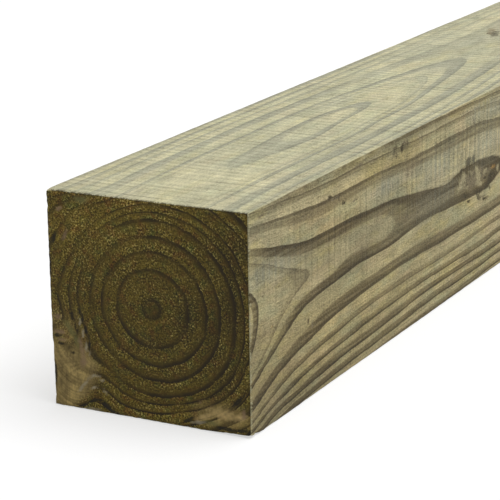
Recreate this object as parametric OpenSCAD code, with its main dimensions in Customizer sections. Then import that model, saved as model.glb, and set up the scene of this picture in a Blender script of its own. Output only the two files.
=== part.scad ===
// Treated pine timber: one sawn length of square stock, lying flat on one of its sides.
//
// X runs across the stock, Y along it and Z up. The origin is on the underside, at the
// middle of the width and of the length. The near end is the one that faces -Y, and
// left and right are those of someone who looks at that end.

/* [Stock] */
// Sawn width, from the left side to the right side
section_w = 100; // [60:5:200]
// Sawn depth, from the underside to the top
section_h = 100; // [60:5:200]
// Length from end to end, as cut off at the mill
stock_l = 1800; // [600:300:6000]

/* [Arrises] */
// Radius left on the four long arrises by the saw and by handling
arris_r = 0.5; // [0.3:0.1:4]

/* [Sliver torn from the left side at the near end] */
// Thickness of the missing sliver where it meets the end
sliver_t = 0.4; // [0.2:0.1:3]
// Height of the missing sliver above the underside
sliver_h = 30; // [10:1:50]
// How far back along the side the sliver runs out
sliver_l = 55; // [10:5:200]

/* [Chipped corner, top left of the near end] */
// Length of the chip along the end's top edge
chip_w = 4; // [1:0.5:12]
// Length of the chip back along the top left arris
chip_l = 5; // [1:0.5:20]
// Length of the chip down the end's left edge
chip_h = 0.8; // [0.4:0.2:8]

/* [Worn foot, bottom right of the near end] */
// How far the foot's wear reaches along the end's bottom edge
foot_w = 22; // [4:1:40]
// How far it reaches back along the lower right arris
foot_l = 14; // [4:1:40]
// How much it lifts the bottom right corner
foot_h = 1.2; // [0.4:0.2:6]

/* [Nicks in the near end's edges] */
// Height of the upper nick in the left edge
upper_nick_z = 92; // [60:1:95]
// Height of the lower nick in the left edge
lower_nick_z = 5; // [4:1:25]
// Distance from the end of the nick in the lower right arris
foot_nick_y = 5; // [4:1:40]
// Mouth of each nick, along its edge
nick_w = 4; // [1:0.5:6]
// Depth of each nick in the left edge, square in from the edge
nick_d = 0.8; // [0.4:0.1:4]
// Depth of the nick in the lower right arris, square in from the arris
foot_nick_d = 1.6; // [0.4:0.1:4]

/* [Hidden] */

half_w = section_w / 2;
half_l = stock_l / 2;
// Overlap that takes each cut cleanly past the face that it starts from
past = 1;
// Smoothness of the arrises
$fn = 48;

// A rectangle with four rounded corners, its lower edge on Y = 0
module sawn_section() {
    translate([-half_w, arris_r])
        square([section_w, section_h - 2 * arris_r]);
    translate([arris_r - half_w, 0])
        square([section_w - 2 * arris_r, section_h]);
    for (x = [arris_r - half_w, half_w - arris_r], z = [arris_r, section_h - arris_r])
        translate([x, z])
            circle(r = arris_r);
}

// The whole length of stock, before any damage
module sawn_stock() {
    translate([0, half_l, 0])
        rotate([90, 0, 0])
            linear_extrude(height = stock_l)
                sawn_section();
}

// A tapered sliver that lifted with the grain from the foot of the left side
module torn_sliver() {
    translate([-half_w, -half_l, -past])
        linear_extrude(height = sliver_h + past)
            polygon([[-past, -past], [sliver_t, -past], [sliver_t, 0], [0, sliver_l], [-past, sliver_l]]);
}

// A flat break or wear across a corner, with a leg along each of the corner's three edges
module corner_chip(legs) {
    normal = [1 / legs.x, 1 / legs.y, 1 / legs.z];
    // Distance from the corner to the break, and a block that covers the whole corner
    reach = 1 / norm(normal);
    block = 2 * max(legs);
    turn = atan2(normal.y, normal.x);
    tilt = acos(normal.z / norm(normal));
    rotate([0, tilt, turn])
        translate([-block, -block, reach - 2 * block])
            cube(2 * block);
}

// A V-shaped nick across an edge that lies along Z, opening towards -X and -Y
module edge_nick(depth) {
    rotate([0, 0, 45])
        rotate([90, 0, 0])
            linear_extrude(height = 4 * (depth + past), center = true)
                polygon([
                    [-past, -nick_w / 2], [0, -nick_w / 2], [depth, 0], [0, nick_w / 2], [-past, nick_w / 2]
                ]);
}

module timber() {
    color([0.70, 0.67, 0.54])
        difference() {
            sawn_stock();
            torn_sliver();
            translate([-half_w, -half_l, section_h])
                mirror([0, 0, 1])
                    corner_chip([chip_w, chip_l, chip_h]);
            translate([half_w, -half_l, 0])
                mirror([1, 0, 0])
                    corner_chip([foot_w, foot_l, foot_h]);
            for (z = [lower_nick_z, upper_nick_z])
                translate([-half_w, -half_l, z])
                    edge_nick(nick_d);
            translate([half_w, foot_nick_y - half_l, 0])
                rotate([90, 0, 0])
                    mirror([1, 0, 0])
                        edge_nick(foot_nick_d);
        }
}

timber();
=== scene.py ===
# %% [markdown]
# # A length of treated pine timber
#
# The real object is one square stick, 100 by 100 mm and 1.8 m long. It was sawn from the middle
# of a pine log, cross-cut with a coarse saw and pressure treated with a green preservative.
# Everything that the eye reads on it is grain: the growth rings as circles on the two ends,
# and the same rings as tongues and lenses where the saw ran along them. So the lesson builds
# one field of growth rings through the whole stick first, and every face then shows a cut
# through that one field.

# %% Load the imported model, which gives every size
import math

import bpy
import numpy as np
from mathutils import Matrix, Vector


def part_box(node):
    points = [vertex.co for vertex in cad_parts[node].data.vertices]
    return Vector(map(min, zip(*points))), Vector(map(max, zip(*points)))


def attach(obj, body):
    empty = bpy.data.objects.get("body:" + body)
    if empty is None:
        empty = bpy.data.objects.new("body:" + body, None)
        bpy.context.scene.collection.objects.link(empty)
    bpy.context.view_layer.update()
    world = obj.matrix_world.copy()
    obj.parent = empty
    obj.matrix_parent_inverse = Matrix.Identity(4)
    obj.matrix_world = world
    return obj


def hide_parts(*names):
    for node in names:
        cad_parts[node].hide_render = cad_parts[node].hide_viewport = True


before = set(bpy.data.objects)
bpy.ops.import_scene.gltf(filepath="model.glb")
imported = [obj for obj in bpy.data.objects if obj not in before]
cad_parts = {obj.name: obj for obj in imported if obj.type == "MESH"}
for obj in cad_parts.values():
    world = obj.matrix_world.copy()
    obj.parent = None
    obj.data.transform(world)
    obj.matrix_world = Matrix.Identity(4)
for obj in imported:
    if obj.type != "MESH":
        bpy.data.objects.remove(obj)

scene = bpy.context.scene
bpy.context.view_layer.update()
low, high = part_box("timber")
MM = 1000.0
WIDTH, LENGTH, DEPTH = ((high - low) * MM).to_tuple(3)
NEAR_END = low.y
print(f"stock {WIDTH:.1f} x {DEPTH:.1f} x {LENGTH:.1f} mm, near end at y = {NEAR_END:.3f} m")

# %% [markdown]
# ## Camera, floor and light
#
# The camera stands at the near end, a little to its right and above it, and has a long lens, as for
# a page in a catalogue. It could be aimed by a constraint, but a plain matrix from three angles can
# be read and checked, and it leaves nothing live in the scene.

# %% The camera
CAMERA_PLACE = Vector((0.4406, -1.6298, 0.3236))
TURN_LEFT, LOOK_DOWN, ROLL = (math.radians(angle) for angle in (28.105, 16.124, 0.924))

ahead = Vector((-math.sin(TURN_LEFT) * math.cos(LOOK_DOWN),
                math.cos(TURN_LEFT) * math.cos(LOOK_DOWN),
                -math.sin(LOOK_DOWN)))
right = ahead.cross(Vector((0, 0, 1))).normalized()
up = right.cross(ahead)
level = Matrix((right, up, -ahead)).transposed()

camera = bpy.data.objects.new("camera", bpy.data.cameras.new("camera"))
camera.data.sensor_width = 36
camera.data.lens = 149
camera.matrix_world = Matrix.Translation(CAMERA_PLACE) @ (level @ Matrix.Rotation(-ROLL, 3, "Z")).to_4x4()
scene.collection.objects.link(camera)
scene.camera = camera
print("camera looks along", [round(part, 3) for part in ahead])

# %% [markdown]
# One small function adds a node to any tree, sets its properties and fills its sockets. A node or a
# socket among the values is linked, and anything else becomes the socket's own value. Sockets that
# share their name with others go by number. A sum takes its terms at 0, 1 and 2. A map range takes
# its value at 0, the stretch it reads at 1 and 2 and the stretch it gives at 3 and 4. A colour mix
# takes its share at 0 and its two colours at 6 and 7.

# %% The node helper and the colour helpers
def add(tree, kind, sockets={}, **settings):
    """Adds one node to a tree, with its settings, values and links, and returns it."""
    made = tree.nodes.new(kind)
    for name, value in settings.items():
        setattr(made, name, value)
    for socket, value in sockets.items():
        if isinstance(value, bpy.types.Node):
            value = next(output for output in value.outputs if output.enabled)
        if isinstance(value, bpy.types.NodeSocket):
            tree.links.new(value, made.inputs[socket])
        else:
            made.inputs[socket].default_value = value
    return made


def new_finish(name):
    """A new material, and its node tree with nothing in it yet."""
    finish = bpy.data.materials.new(name)
    finish.use_nodes = True
    finish.node_tree.nodes.clear()
    return finish, finish.node_tree


def paint(code):
    """Turns an sRGB hex colour, as a paint card gives it, into the linear colour Blender wants."""
    shares = [int(code[i:i + 2], 16) / 255 for i in (0, 2, 4)]
    return [s / 12.92 if s <= 0.04045 else ((s + 0.055) / 1.055) ** 2.4 for s in shares] + [1.0]


def grey(value):
    """A grey of that linear value."""
    return (value, value, value, 1.0)

# %% [markdown]
# The studio is a white sweep under a broad, soft light from overhead. A wide sun lamp does that
# evenly over the whole 1.8 m, where an area lamp would fall off along the stick. The sweep shows
# white to the camera and to reflections, and is a mid grey for the light that it throws back,
# so that the sides stay darker than the top, as they do on a bench outdoors.

# %% Floor, world and lamp
FLOOR_HALF = 6.0
# The floor's grey where it is seen, what it glows by there, and its grey for the light it throws back
FLOOR_GREY, FLOOR_GLOW, FLOOR_BOUNCE = 0.5, 0.56, 0.42
WORLD_LIGHT, WORLD_SEEN = 0.34, 1.0
LAMP_FROM = Vector((0.34, 0.12, 1.0))
LAMP_STRENGTH, LAMP_SPREAD = 2.1, math.radians(50)


def seen_directly(tree):
    """1 for what the camera sees, straight or by way of a shiny or clear surface, and 0 otherwise."""
    ray = add(tree, "ShaderNodeLightPath").outputs
    seen = ray["Is Camera Ray"]
    for other in ("Is Glossy Ray", "Is Transmission Ray"):
        seen = add(tree, "ShaderNodeMath", {0: seen, 1: ray[other]}, operation="MAXIMUM")
    return seen


def floor_finish():
    """White to the camera, keeping the shadow, and mid grey to the light that it bounces."""
    finish, tree = new_finish("studio_floor")
    bounced = add(tree, "ShaderNodeBsdfDiffuse", {"Color": grey(FLOOR_BOUNCE)})
    lit = add(tree, "ShaderNodeBsdfDiffuse", {"Color": grey(FLOOR_GREY)})
    glow = add(tree, "ShaderNodeEmission", {"Color": grey(1.0), "Strength": FLOOR_GLOW})
    white = add(tree, "ShaderNodeAddShader", {0: lit, 1: glow})
    chosen = add(tree, "ShaderNodeMixShader", {0: seen_directly(tree), 1: bounced, 2: white})
    add(tree, "ShaderNodeOutputMaterial", {"Surface": chosen})
    return finish


floor_mesh = bpy.data.meshes.new("studio_floor")
floor_corners = [(x * FLOOR_HALF, y * FLOOR_HALF, low.z) for x, y in ((-1, -1), (1, -1), (1, 1), (-1, 1))]
floor_mesh.from_pydata(floor_corners, [], [(0, 1, 2, 3)])
floor_mesh.materials.append(floor_finish())
floor = bpy.data.objects.new("studio_floor", floor_mesh)
scene.collection.objects.link(floor)

world = bpy.data.worlds.new("studio")
world.use_nodes = True
tree = world.node_tree
tree.nodes.clear()
soft = add(tree, "ShaderNodeBackground", {"Color": grey(1.0), "Strength": WORLD_LIGHT})
white = add(tree, "ShaderNodeBackground", {"Color": grey(1.0), "Strength": WORLD_SEEN})
shown = add(tree, "ShaderNodeMixShader", {0: seen_directly(tree), 1: soft, 2: white})
add(tree, "ShaderNodeOutputWorld", {"Surface": shown})
scene.world = world

lamp = bpy.data.objects.new("overhead_light", bpy.data.lights.new("overhead_light", "SUN"))
lamp.data.energy = LAMP_STRENGTH
lamp.data.angle = LAMP_SPREAD
lamp.matrix_world = LAMP_FROM.to_track_quat("Z", "Y").to_matrix().to_4x4()
scene.collection.objects.link(lamp)
scene.view_settings.view_transform = "Standard"
print("floor, world and one overhead lamp are in place")

# %% [markdown]
# ## The growth rings
#
# A pine grows a pale, soft layer each spring (earlywood) and a thin, dark, hard one each summer
# (latewood). Rings could be painted on each face by hand, but then they wouldn't meet at the
# edges. Instead the whole stick gets one number at every point: the ring radius, which is the
# distance from the pith at the near end to the ring that passes through that point. The calendar
# below says where each summer ends, how thick its dark layer is and how dark it looks.

# %% The calendar of summers: (outer radius, thickness of the dark layer, darkness)
SUMMERS = [(4.4, 2.6, 0.7), (13.5, 0.8, 0.3), (17.5, 2.2, 0.75), (25.5, 2.0, 0.8), (32.5, 2.2, 0.8),
           (40, 2.2, 0.85), (44, 1.3, 0.75), (48.5, 1.2, 0.95), (54.2, 0.5, 0.5), (56.5, 1.3, 1.0),
           (62.5, 2.8, 0.95), (66.5, 1.3, 0.75), (70, 1.5, 0.9), (74, 2.3, 0.95), (78, 2.3, 0.95)]
# Farther out the years are alike
SUMMERS += [(radius, 1.9, 0.9) for radius in range(82, 110, 4)]
YEARS = len(SUMMERS)
BARK = SUMMERS[-1][0]
# Share of each year that has passed when its dark layer starts
SUMMER_STARTS = 0.7

ring_marks = [(0.0, 0.0)]
for year, (outer, thick, dark) in enumerate(SUMMERS):
    ring_marks += [(outer - thick, year + SUMMER_STARTS), (outer, year + 1.0)]
darkness_marks = [(year + 0.85, dark) for year, (outer, thick, dark) in enumerate(SUMMERS)]
print(YEARS, "years from the pith to", BARK, "mm")

# %% [markdown]
# The rings of a real log are not true circles. What a sawyer would do to know them is to walk along
# each line with a ruler, so that is what these lists are: places where a given ring reaches the
# top, the right side and the near end, in millimetres. The stick's own frame starts at the near end,
# with x across, y along and z up from the underside.

# %% The ring survey: (ring radius, places on that ring)
# On the top: (distance from the near end, x)
TOP_LINES = [
    (48.5, [(64, 4.5), (72, 7.5), (85, 9.5), (100, 10), (120, 13.5), (145, 14.5), (165, 11.5), (200, 9),
            (215, 7.5), (224, 2.5), (210, -2.5), (200, -4), (180, -6.5), (160, -7.5), (140, -5.7),
            (120, -4.8), (100, -2.5), (80, -0.5)]),
    (47.2, [(127, 4), (140, 0), (170, -1.2), (195, 0.3), (205, 3), (195, 5.7), (165, 7.5), (140, 8)]),
    (45, [(142, 4), (155, 3.5), (170, 3), (185, 3), (195, 3)]), (49.4, [(0, 3), (30, 3), (54, 4)]),
    (56.5, [(0, -14.5), (20, -16.5), (40, -17.8), (80, -19.2), (160, -19.8), (200, -19.2), (240, -17),
            (280, -13.5), (320, -8.3), (340, -2.5), (356, 1.5), (340, 9.3), (320, 13), (300, 16),
            (260, 21.2), (220, 25.8), (180, 27.4), (140, 29.5), (60, 29.2), (0, 30.5)]),
    (55.2, [(318, 0)]), (56, [(338, 2)]), (58.5, [(375, 1)]), (60, [(410, 1), (460, -1)]),
    (62.5, [(0, -26.5), (20, -28), (40, -29.5), (80, -31.5), (120, -32), (180, -32.3), (220, -30.5),
            (280, -29.2), (340, -26.2), (380, -24), (420, -23)]),
    (66.5, [(0, -36), (40, -37.5), (100, -38.2), (160, -38.5), (240, -37.2), (300, -36.2), (380, -34.5),
            (440, -35.5), (500, -37)]),
    (70, [(0, -43), (60, -44.2), (120, -45), (220, -43.8), (300, -42.7), (380, -41.8), (440, -44)]),
    (62.5, [(0, 42.5), (20, 41), (60, 39.5), (120, 39.5), (180, 39), (220, 37), (260, 35), (300, 31.5),
            (340, 27.5)]),
    (66.5, [(20, 48.7), (60, 46.8), (140, 47), (180, 46.3), (220, 45), (250, 43.3), (280, 40.5),
            (310, 38)]),
]
# On the right side: (distance from the near end, height)
SIDE_LINES = [
    (48.5, [(0, 65.5), (4, 63), (7, 60), (8, 54), (7.5, 47), (5, 41), (2, 36), (0, 34)]),
    (54.2, [(0, 76.5), (20, 72), (35, 66.5), (55, 61.5), (59, 58), (50, 54.5), (33, 48), (0, 28)]),
    (55.2, [(0, 80.5), (20, 75.5), (40, 70.5), (60, 67.5), (100, 67.2), (130, 66.3), (143, 63.7),
            (150, 59.5), (146, 56.5), (138, 54.8), (120, 54.3), (112, 57), (100, 57.5), (90, 55.5),
            (80, 50.8), (60, 50.2), (50, 48.7), (40, 46.5), (30, 41.5), (20, 34), (10, 29.5), (0, 24.5)]),
    (56.5, [(0, 84.2), (10, 83.5), (20, 80.7), (30, 77.9), (40, 76.3), (60, 73.8), (100, 73), (120, 72),
            (140, 70.8), (160, 69.3), (180, 67.4), (200, 63.4), (215, 62), (235, 65.3), (250, 65.5),
            (262, 64), (275, 64.3), (284, 61), (284, 52.5), (275, 47.5), (260, 47), (220, 49),
            (200, 50.8), (165, 49.8), (150, 47.6), (130, 48.4), (110, 49.2), (80, 46.8), (60, 46),
            (50, 43.8), (40, 38.9), (30, 35.3), (20, 30.3), (10, 26), (0, 21)]),
    (56, [(158, 61), (165, 60), (190, 58), (224, 57), (245, 57), (266, 57), (280, 57)]),
    (55.9, [(158, 53.5), (175, 54.5), (200, 55)]), (56.1, [(166, 56), (200, 57), (222, 54)]),
    (54.5, [(120, 60), (138, 58)]),
    (62.5, [(0, 93.2), (10, 93.4), (20, 92.2), (40, 90.2), (60, 88.6), (80, 87.6), (110, 88), (140, 87.5),
            (160, 86), (240, 86.5), (260, 85.5), (285, 83)]),
    (66.5, [(0, 99.5), (30, 97.8), (60, 96), (100, 96), (140, 95.3), (180, 94.2), (220, 94.8),
            (260, 93.8), (285, 92.5)]),
    (70, [(160, 99.6), (200, 99), (240, 99), (280, 98)]),
    (62.5, [(0, 10), (10, 15), (20, 19), (30, 22.2), (40, 24.5), (60, 27.7), (80, 31.3), (100, 32.5),
            (140, 34.2), (160, 35), (200, 34), (260, 33), (288, 34)]),
    (66.5, [(0, 5.5), (10, 9.5), (20, 12.3), (40, 17.7), (60, 19.8), (80, 21.8), (100, 23.6),
            (120, 24.8), (160, 25.5), (200, 25), (240, 25.2), (288, 26.2)]),
    (70, [(5, 3), (20, 7), (40, 10.3), (60, 13), (80, 14.7), (100, 16.3), (120, 17.5), (160, 18.5),
          (200, 18.8), (260, 17.7), (288, 18.7)]),
    (74, [(20, 2.8), (40, 4.7), (60, 6.6), (100, 9), (140, 10.3), (180, 11.9), (200, 12.5), (260, 11.6),
          (288, 12.2)]),
    (78, [(60, 1.2), (100, 3.4), (140, 4.3), (180, 6), (200, 6.6), (260, 6.6), (288, 7.1)]),
    (82, [(180, 0.2), (240, 0.5), (288, 1.7)]),
    (59.8, [(110, 83.5), (140, 82.8), (170, 81.2), (200, 80.4), (230, 80.6), (250, 81), (285, 78)]),
]
# On the near end: (bearing round the pith in degrees, distance from the pith)
END_CIRCLES = [
    (17.5, [(0, 18.3), (45, 18.3), (90, 18), (180, 18.3), (270, 18.2), (360, 18.3)]),
    (25.5, [(0, 27.5), (45, 26.8), (90, 25.7), (135, 25.4), (180, 26), (220, 25.8), (260, 26),
            (300, 27), (345, 27.7), (360, 27.5)]),
    (32.5, [(0, 33.8), (50, 34), (90, 33), (135, 32.5), (165, 32), (200, 32.8), (230, 32),
            (260, 32.8), (290, 33.5), (330, 34.2), (360, 33.8)]),
    (40, [(0, 41.4), (50, 41.6), (90, 40.4), (110, 39.7), (155, 38.1), (180, 38.7)]),
    (40, [(265, 40.3), (285, 40.5), (305, 41.5), (325, 42.2), (360, 41.4)]),
    (44, [(0, 45.5), (40, 45.8), (90, 43.6), (105, 42.4), (150, 41.8), (165, 42.1), (180, 43.2)]),
    (44, [(250, 44.5), (270, 43.8), (290, 43.8), (310, 45.8), (328, 46.7), (360, 45.5)]),
    (48.5, [(20, 50), (36, 50.7), (60, 49.4), (85, 47.2), (105, 46), (120, 45.2), (150, 45),
            (168, 47), (180, 48.9)]),
    (48.5, [(250, 50), (265, 48.4), (280, 47.8), (292, 47.5), (312, 50), (330, 51)]),
    (56.5, [(35, 57.8), (50, 56.7)]), (56.5, [(125, 55.5), (130, 55.8), (157, 57)]),
    (56.5, [(288, 53.5), (322, 56.8)]), (62.5, [(45, 63.2)]), (62.5, [(135, 61.5)]),
    (66.5, [(137, 66.5)]),
]
# On the near end, round the branch that grew out of its lower left corner: (x, height)
CORNER_LINES = [
    (40, [(-35.5, 50), (-34.8, 45), (-32.5, 40), (-31.5, 35), (-30.5, 30), (-29.5, 26), (-27, 22),
          (-22, 22), (-18, 18.5)]),
    (44, [(-40.5, 50), (-39, 44), (-37.5, 38.5), (-37.5, 33), (-41, 28.5), (-47, 30)]),
    (44, [(-26, 18), (-22, 16.5), (-17.5, 13), (-12, 10.5)]),
    (48.5, [(-45.5, 50), (-44.5, 47), (-43.5, 42), (-45, 39), (-50, 37.5)]),
    (48.5, [(-30, 10), (-27, 11.5), (-22, 9.5), (-17, 6.5), (-10, 5)]),
    (56.5, [(-38, 1), (-33, 2.8), (-28, 5.5), (-25, 4), (-20, 1)]),
]
PITH_X, PITH_Z = 2.5, 52.0
# Longest steps between places on a line, in mm: on the end, and along and across a long face
STRIDE = 5
LONG_STRIDES = (14, 5)
# A radian in degrees, near enough
RADIAN = 57


def walked(line, stride):
    """The places of a line, with more between them wherever they lie more than a stride apart."""
    line = np.array(line, float)
    places = [line[:1]]
    for start, end in zip(line, line[1:]):
        steps = math.ceil(np.linalg.norm((end - start) / stride))
        places.append(start + (end - start) * np.arange(1, steps + 1)[:, None] / steps)
    return np.concatenate(places)


def on_end(bearing, out):
    """The place on the near end at a bearing round the pith and a distance out from it."""
    turn = math.radians(bearing)
    return PITH_X + out * math.cos(turn), 0, PITH_Z + out * math.sin(turn)


def surveyed():
    """Every surveyed place as (x, y, z), and the ring radius at it."""
    places, radii = [], []
    for lines, strides, place in ((TOP_LINES, LONG_STRIDES, lambda y, x: (x, y, DEPTH)),
                                  (SIDE_LINES, LONG_STRIDES, lambda y, z: (WIDTH / 2, y, z)),
                                  (END_CIRCLES, None, on_end),
                                  (CORNER_LINES, (STRIDE, STRIDE), lambda x, z: (x, 0, z))):
        for radius, line in lines:
            walk = walked(line, strides or (STRIDE * RADIAN / radius, STRIDE))
            places += [place(*spot) for spot in walk]
            radii += [radius] * len(walk)
    return np.array(places, float), np.array(radii, float)

# %% [markdown]
# Between and beyond the surveyed lines the rings follow the tree. A log is a cone, so its rings
# close in along the stick, and it bulges round each whorl of branches. A branch is a thin cone that
# starts at the pith and leans along the trunk: where it is nearer than the trunk's own axis, the
# wood belongs to the branch and shows as a knot. A smooth minimum of the two distances makes the
# rings sweep round the knot as they do in the tree.

# %% Trunk and branches
# (distance along the pith, bearing, trunk radius for each mm of branch radius)
BRANCHES = [(334, 6, 3.2), (330, 186, 4.2), (318, 262, 3.6), (455, 107, 18.0), (655, 60, 9.0),
            (780, 20, 3.8), (772, 118, 4.6), (784, 205, 4.0), (776, 300, 5.0), (1010, 312, 8.0),
            (1205, 350, 4.4), (1196, 75, 3.6), (1210, 165, 4.8), (1200, 255, 3.9), (1430, 200, 8.5),
            (1590, 30, 4.2), (1585, 140, 3.8), (1596, 245, 4.6)]
# How far a branch leans along the stick, for each mm that it grows outwards
LEAN = -0.5
# The trunk ring that a branch starts from, and how softly the rings sweep round a knot, in mm
BUD = 2.0
SWEEP = 9.0
# How much the rings close in over the surveyed stretch, and for each mm after it
TAPER, LATER_TAPER = 7.0, 0.004
TAPER_FROM, TAPER_TO = 60, 420
# How far the pith wanders across and up past the surveyed stretch
WANDER_X, WANDER_Z = 5, 4


def ease(start, end, value):
    """Goes smoothly from 0 to 1 as value goes from start to end."""
    share = np.clip((value - start) / (end - start), 0, 1)
    return share * share * (3 - 2 * share)


def trunk(points):
    """Ring radius without the survey, how far out of a branch each point is, and its branch radius."""
    x, y, z = points[:, 0] - PITH_X, points[:, 1], points[:, 2] - PITH_Z
    # Past the surveyed stretch the pith wanders a few millimetres, as in any log
    wander = ease(450, 900, y)
    x = x - wander * WANDER_X * np.sin(y / 260)
    z = z - wander * WANDER_Z * np.sin(y / 340 + 1)
    radius = np.sqrt(x * x + z * z + 0.2)
    outside = np.full(len(points), 9.0)
    branch_radius = np.zeros(len(points))
    for along, bearing, slimness in BRANCHES:
        angle = math.radians(bearing)
        axis = np.array([math.cos(angle), LEAN, math.sin(angle)])
        axis /= np.linalg.norm(axis)
        start = np.stack([x, y - along, z], 1)
        reach = start @ axis
        distance = np.linalg.norm(start - reach[:, None] * axis, axis=1)
        branch = np.where(reach > 0, BUD + slimness * distance, 1e3)
        share = branch / np.maximum(radius, 1)
        branch_radius = np.where(share < outside, distance, branch_radius)
        outside = np.minimum(outside, share)
        blend = np.clip(0.5 + 0.5 * (branch - radius) / SWEEP, 0, 1)
        radius = branch * (1 - blend) + radius * blend - SWEEP * blend * (1 - blend)
    # The log narrows along the stick, and its rings waver
    narrowing = TAPER * ease(TAPER_FROM, TAPER_TO, y) + LATER_TAPER * np.maximum(y - TAPER_TO, 0)
    waves = 0.9 * np.sin(y / 83 + x / 31) + 0.7 * np.sin(y / 131 - z / 23 + 2)
    return radius + narrowing + waves * ease(380, 700, y), outside, branch_radius


print(len(BRANCHES), "branches, each with its own cone of wood")

# %% [markdown]
# The survey then corrects the tree. This is kriging, which is how a mine is mapped from a few
# bore holes: what the simple tree gets wrong at each surveyed place is spread over its
# surroundings, far along the grain and less far across it, and fades out by itself where
# nothing was surveyed.

# %% The correction from the survey
# How far a correction spreads along x, y and z, in mm, and how loosely it holds to each place
SPREAD = np.array([13.0, 38.0, 13.0])
LOOSENESS = 0.03
# Points are worked through in batches of this size, which keeps the tables small
BATCH = 20000


def kinship(a, b):
    """How much each place in a has to do with each place in b, from 1 down to 0."""
    apart = np.linalg.norm((a[:, None, :] - b[None, :, :]) / SPREAD, axis=2)
    return (1 + apart) * np.exp(-apart)


survey_places, survey_radii = surveyed()
gap = survey_radii - trunk(survey_places)[0]
ties = kinship(survey_places, survey_places) + LOOSENESS * np.eye(len(gap))
survey_weights = np.linalg.solve(ties, gap)
# Eight spreads past the last place, nothing is left of a correction
SURVEY_REACH = survey_places[:, 1].max() + 8 * SPREAD[1]
left_over = ties @ survey_weights - gap - LOOSENESS * survey_weights
print(f"{len(gap)} surveyed places, fitted to {np.sqrt(np.mean(left_over ** 2)):.2f} mm")


def rings_at(points):
    """Ring radius, how far out of a branch, and branch radius, at points in the stick's own frame."""
    radius, outside, branch_radius = trunk(points)
    near = np.flatnonzero(points[:, 1] < SURVEY_REACH)
    for part in np.array_split(near, 1 + len(near) // BATCH):
        radius[part] += kinship(points[part], survey_places) @ survey_weights
    return radius, outside, branch_radius

# %% [markdown]
# ## The finishes
#
# Treated pine, straight from the saw, is matt and slightly furry. Its colour is the pale straw of
# pine under a thin green-grey of copper salts, with grey-brown summer wood. A finish reads the ring
# radius, turns it into a year with a curve, and takes what is left of the year as its place between
# spring and summer. A stripe texture would be simpler, but its lines wouldn't pass over the edges.
# Fine noise stretched along the grain stands for fibres.

# %% Years, seasons and noises, which both finishes share
def bend(node, marks):
    """Gives a curve node straight stretches between marks of (value in, value out)."""
    points = node.mapping.curves[0].points
    for value_in, value_out in marks:
        points.new(value_in, value_out)
    for point in points:
        point.handle_type = "VECTOR"
    node.mapping.update()


def year_nodes(tree, wobble):
    """Which part of its year the wood at the surface grew in, and how strongly that year shows."""
    ring = add(tree, "ShaderNodeAttribute", attribute_name="ring_radius").outputs["Fac"]
    ring = add(tree, "ShaderNodeMath", {0: ring, 1: wobble}, operation="ADD")
    share = add(tree, "ShaderNodeMath", {0: ring, 1: float(BARK)}, operation="DIVIDE")
    calendar = add(tree, "ShaderNodeFloatCurve", {"Value": share})
    weight = add(tree, "ShaderNodeFloatCurve", {"Value": calendar})
    bend(calendar, [(radius / BARK, age / YEARS) for radius, age in ring_marks[1:-1]])
    bend(weight, [(age / YEARS, dark) for age, dark in darkness_marks])
    years = add(tree, "ShaderNodeMath", {0: calendar, 1: float(YEARS)}, operation="MULTIPLY")
    part = add(tree, "ShaderNodeMath", {0: years}, operation="FRACT")
    show = add(tree, "ShaderNodeAttribute", attribute_name="ring_show").outputs["Fac"]
    weight = add(tree, "ShaderNodeMath", {0: weight, 1: show}, operation="MULTIPLY", use_clamp=True)
    return part, weight


def seasons(tree, part, weight, marks):
    """A value through the year, from marks of (part of the year, value), as strong as the year shows."""
    ramp = add(tree, "ShaderNodeValToRGB", {"Fac": part})
    elements = ramp.color_ramp.elements
    while len(elements) < len(marks):
        elements.new(1.0)
    for element, (place, value) in zip(elements, marks):
        element.position = place
        element.color = grey(value)
    return add(tree, "ShaderNodeMath", {0: ramp, 1: weight}, operation="MULTIPLY")


def noises(tree, table):
    """A noise for each row of a table: its name, its size in mm along x, y and z, and its detail."""
    place = add(tree, "ShaderNodeTexCoord").outputs["Object"]
    made = {}
    for name, size, detail in table:
        scale = [MM / part for part in size]
        stretched = add(tree, "ShaderNodeMapping", {"Vector": place, "Scale": scale})
        made[name] = add(tree, "ShaderNodeTexNoise",
                         {"Vector": stretched, "Scale": 1.0, "Detail": detail, "Roughness": 0.6})
    return made


def lines_beside(tree, attribute, thick, long):
    """Fine lines that follow an attribute's own level lines, that thick across and that long, in mm."""
    level = add(tree, "ShaderNodeAttribute", attribute_name=attribute).outputs["Fac"]
    across = add(tree, "ShaderNodeMath", {0: level, 1: 1 / thick}, operation="MULTIPLY")
    place = add(tree, "ShaderNodeTexCoord").outputs["Object"]
    stretched = add(tree, "ShaderNodeMapping", {"Vector": place, "Scale": [MM / long] * 3})
    return add(tree, "ShaderNodeTexNoise",
               {"Vector": stretched, "W": across, "Scale": 1.0, "Detail": 2.0}, noise_dimensions="4D")

# %% [markdown]
# Colour goes on in coats, as a painter of false wood grain works. Each coat has something that
# drives it, such as a noise or a mark on the wood, and a strength. Long chains of mixes would do the
# same, but a list of coats can be read from the bottom up.

# %% Coats of colour, and the matt surface under them
def coats(tree, colour, table):
    """Lays coats over a colour: (what drives it, where it starts, where it is full, most, colour)."""
    for driver, start, full, most, code in table:
        cover = add(tree, "ShaderNodeMapRange", {0: driver, 1: start, 2: full, 4: most})
        colour = add(tree, "ShaderNodeMix", {0: cover, 6: colour, 7: paint(code)}, data_type="RGBA")
    return colour


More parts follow.
